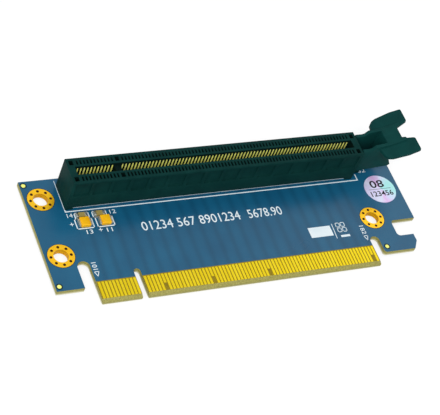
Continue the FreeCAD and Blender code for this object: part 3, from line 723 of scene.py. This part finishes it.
# frames round the capacitors, from the capacitors' own boxes
frameGaps = {
    # gaps on the left, right, fingers' side and slot's side
    "block_terminals": (0.6 * mm, 0.6 * mm, 0.5 * mm, 0.55 * mm),
    "chip_ends": (0.25 * mm, 0.65 * mm, 0.2 * mm, 0.35 * mm),
}
partFrames = []
for side in ("left", "right"):
    for part, (left, right, below, above) in frameGaps.items():
        low, high = corners(side + "_" + part)
        partFrames += frameStrokes(low[0] - left, high[0] + right, low[1] - below, high[1] + above)
prints.append(inked(partFrames, ink["line"]))

# thin inner line along the slot's foot, and arrows under the turned labels
footLine = dict(startIn=2.2 * mm, end=92.9 * mm, out=3.7 * mm)
footY = slotMiddle - footLine["out"]
prints.append(inked([(housingLow[0] + footLine["startIn"], footY, footLine["end"], footY)],
                    ink["hair"]))
arrow = dict(half=0.65 * mm, long=1.5 * mm,
             places=[(7.9 * mm, -6.2 * mm), (90.3 * mm, -5.8 * mm)])
arrows = []
for x, y in arrow["places"]:
    left, right, tip = x - arrow["half"], x + arrow["half"], y - arrow["long"]
    arrows += [(left, y, right, y), (left, y, x, tip), (right, y, x, tip)]
prints.append(inked(arrows, ink["fine"]))

# slanted bar, plain tick boxes and a short rule beside the white block
tick = dict(x=82.5 * mm, y=-3.4 * mm, stepX=1.6 * mm, stepY=1.75 * mm, wide=1.2 * mm,
            high=1.35 * mm, slant=(81.1 * mm, -5.4 * mm, 81.4 * mm, -0.5 * mm),
            rule=(83.0 * mm, -4.9 * mm, 85.2 * mm, -4.9 * mm), ruleWide=0.7 * mm)
tickStrokes = [tick["slant"]]
for column in range(2):
    for row in range(2):
        x0 = tick["x"] + column * tick["stepX"]
        y0 = tick["y"] + row * tick["stepY"]
        tickStrokes += frameStrokes(x0, x0 + tick["wide"], y0, y0 + tick["high"])
prints.append(inked(tickStrokes, ink["fine"]))
prints.append(inked([tick["rule"]], tick["ruleWide"]))
meshPiece("screenPrint", together(*prints), silkInk)
print("lettering made")

# sticker print: plain numbers above and below a rule, placed from the sticker's middle
stickerInk = dict(rise=0.008 * mm, bold=0.016, hair=0.12 * mm, ruleY=0.05 * mm,
                  ruleFrom=-3.8 * mm, ruleTo=3.6 * mm, words=[
                      # words, middle x, middle y, height, width
                      ("08", -0.4 * mm, 1.9 * mm, 2.7 * mm, 4.6 * mm),
                      ("123456", 0.0, -1.6 * mm, 1.9 * mm, 7.4 * mm),
                  ])
middleX, middleY = ((stickerLow + stickerHigh) / 2)[:2]
stickerTop = stickerHigh[2]
stickerPrint = [
    lettering(words, middleX + x, middleY + y, stickerTop, high, width, bold=stickerInk["bold"],
              rise=stickerInk["rise"])
    for words, x, y, high, width in stickerInk["words"]]
ruleY = middleY + stickerInk["ruleY"]
stickerPrint.append(bars([(middleX + stickerInk["ruleFrom"], ruleY,
                           middleX + stickerInk["ruleTo"], ruleY)],
                         stickerInk["hair"], stickerTop, stickerInk["rise"]))
meshPiece("stickerPrint", together(*stickerPrint), filmInk)
print("sticker printed")


stage = dict(size=3.0, paper=(0.8, 0.82), fibre=2.5, seenPaper=0.28, seenGlow=0.8, dome=0.45,
             domeColour="#f4f7fa")
camera = dict(azimuth=-40.30, elevation=47.19, roll=25.4, distance=429.85 * mm, lens=126.83,
              sensor=36, near=0.01, far=20, aim=(49.98 * mm, 9.65 * mm, 1.6 * mm))


def paleFloor():
    # Matt uncoated paper: seen as white, and it still takes the object's shadow. Its
    # fibres are 2.5 mm across, coarser than real ones, so that they show.
    material, tree, shader, place = startMaterial("palePaper")
    tree.nodes.remove(shader)
    out = tree.nodes["Material Output"]
    fibres = addNode(tree, "ShaderNodeTexNoise", {"Vector": place, "Scale": per(stage["fibre"]),
                                                  "Detail": 3.0})
    tint = addNode(tree, "ShaderNodeValToRGB", {0: fibres.outputs["Fac"]},
                   stops=[(0.2, stage["paper"][0]), (0.8, stage["paper"][1])])
    matt = addNode(tree, "ShaderNodeBsdfDiffuse", {"Color": tint.outputs[0]})
    part = addNode(tree, "ShaderNodeBsdfDiffuse", {"Color": (*[stage["seenPaper"]] * 3, 1)})
    glow = addNode(tree, "ShaderNodeEmission", {"Color": (1, 1, 1, 1),
                                                "Strength": stage["seenGlow"]})
    seen = addNode(tree, "ShaderNodeAddShader", {0: part.outputs[0], 1: glow.outputs[0]})
    rays = addNode(tree, "ShaderNodeLightPath").outputs
    mix = addNode(tree, "ShaderNodeMixShader",
                  {0: rays["Is Camera Ray"], 1: matt.outputs[0], 2: seen.outputs[0]})
    tree.links.new(mix.outputs[0], out.inputs["Surface"])
    return material


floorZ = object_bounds()[0][2]
half = stage["size"] / 2
floorMesh = bpy.data.meshes.new("floor")
floorMesh.from_pydata([(-half, -half, floorZ), (half, -half, floorZ), (half, half, floorZ),
                       (-half, half, floorZ)], [], [(0, 1, 2, 3)])
floorMesh.materials.append(paleFloor())
floorPiece = bpy.data.objects.new("floor", floorMesh)
bpy.context.scene.collection.objects.link(floorPiece)

# the world: a soft pale dome on the object, plain white where it is seen or mirrored
world = bpy.data.worlds.new("studio")
bpy.context.scene.world = world
world.use_nodes = True
tree = world.node_tree
tree.nodes.clear()
rays = addNode(tree, "ShaderNodeLightPath").outputs
direct = addNode(tree, "ShaderNodeMath", {0: rays["Is Camera Ray"], 1: rays["Is Glossy Ray"]},
                 operation="MAXIMUM")
direct = addNode(tree, "ShaderNodeMath", {0: direct.outputs[0], 1: rays["Is Transmission Ray"]},
                 operation="MAXIMUM")
dome = addNode(tree, "ShaderNodeBackground", {"Color": linear(stage["domeColour"]),
                                              "Strength": stage["dome"]})
white = addNode(tree, "ShaderNodeBackground", {"Color": (1, 1, 1, 1), "Strength": 1.0})
mix = addNode(tree, "ShaderNodeMixShader",
              {0: direct.outputs[0], 1: dome.outputs[0], 2: white.outputs[0]})
addNode(tree, "ShaderNodeOutputWorld", {0: mix.outputs[0]})

lights = [
    # name, watts, size, place
    ("keySoftbox", 4.7, 0.5, (-0.45, -0.41, 0.61)),
    ("fillSoftbox", 0.45, 0.4, (0.62, 0.3, 0.55)),
    ("frontSoftbox", 1.5, 0.4, (0.0, -0.5, 0.68)),
]
target = Vector(camera["aim"])
for name, watts, size, place in lights:
    lamp = bpy.data.lights.new(name, "AREA")
    lamp.energy = watts
    lamp.size = size
    holder = bpy.data.objects.new(name, lamp)
    holder.location = place
    holder.rotation_euler = (target - Vector(place)).to_track_quat("-Z", "Y").to_euler()
    bpy.context.scene.collection.objects.link(holder)

azimuth, elevation = math.radians(camera["azimuth"]), math.radians(camera["elevation"])
back = Vector((math.sin(azimuth) * math.cos(elevation), -math.cos(azimuth) * math.cos(elevation),
               math.sin(elevation)))
lens = bpy.data.cameras.new("studioCamera")
lens.lens = camera["lens"]
lens.sensor_width = camera["sensor"]
lens.clip_start, lens.clip_end = camera["near"], camera["far"]
viewer = bpy.data.objects.new("studioCamera", lens)
viewer.rotation_mode = "QUATERNION"
spin = Matrix.Rotation(math.radians(camera["roll"]), 4, "Z").to_quaternion()
viewer.rotation_quaternion = (-back).to_track_quat("-Z", "Y") @ spin
viewer.location = target + back * camera["distance"]
bpy.context.scene.collection.objects.link(viewer)
bpy.context.scene.camera = viewer
bpy.context.scene.view_settings.view_transform = "Standard"
print("stage, light and camera set")

print("finished")
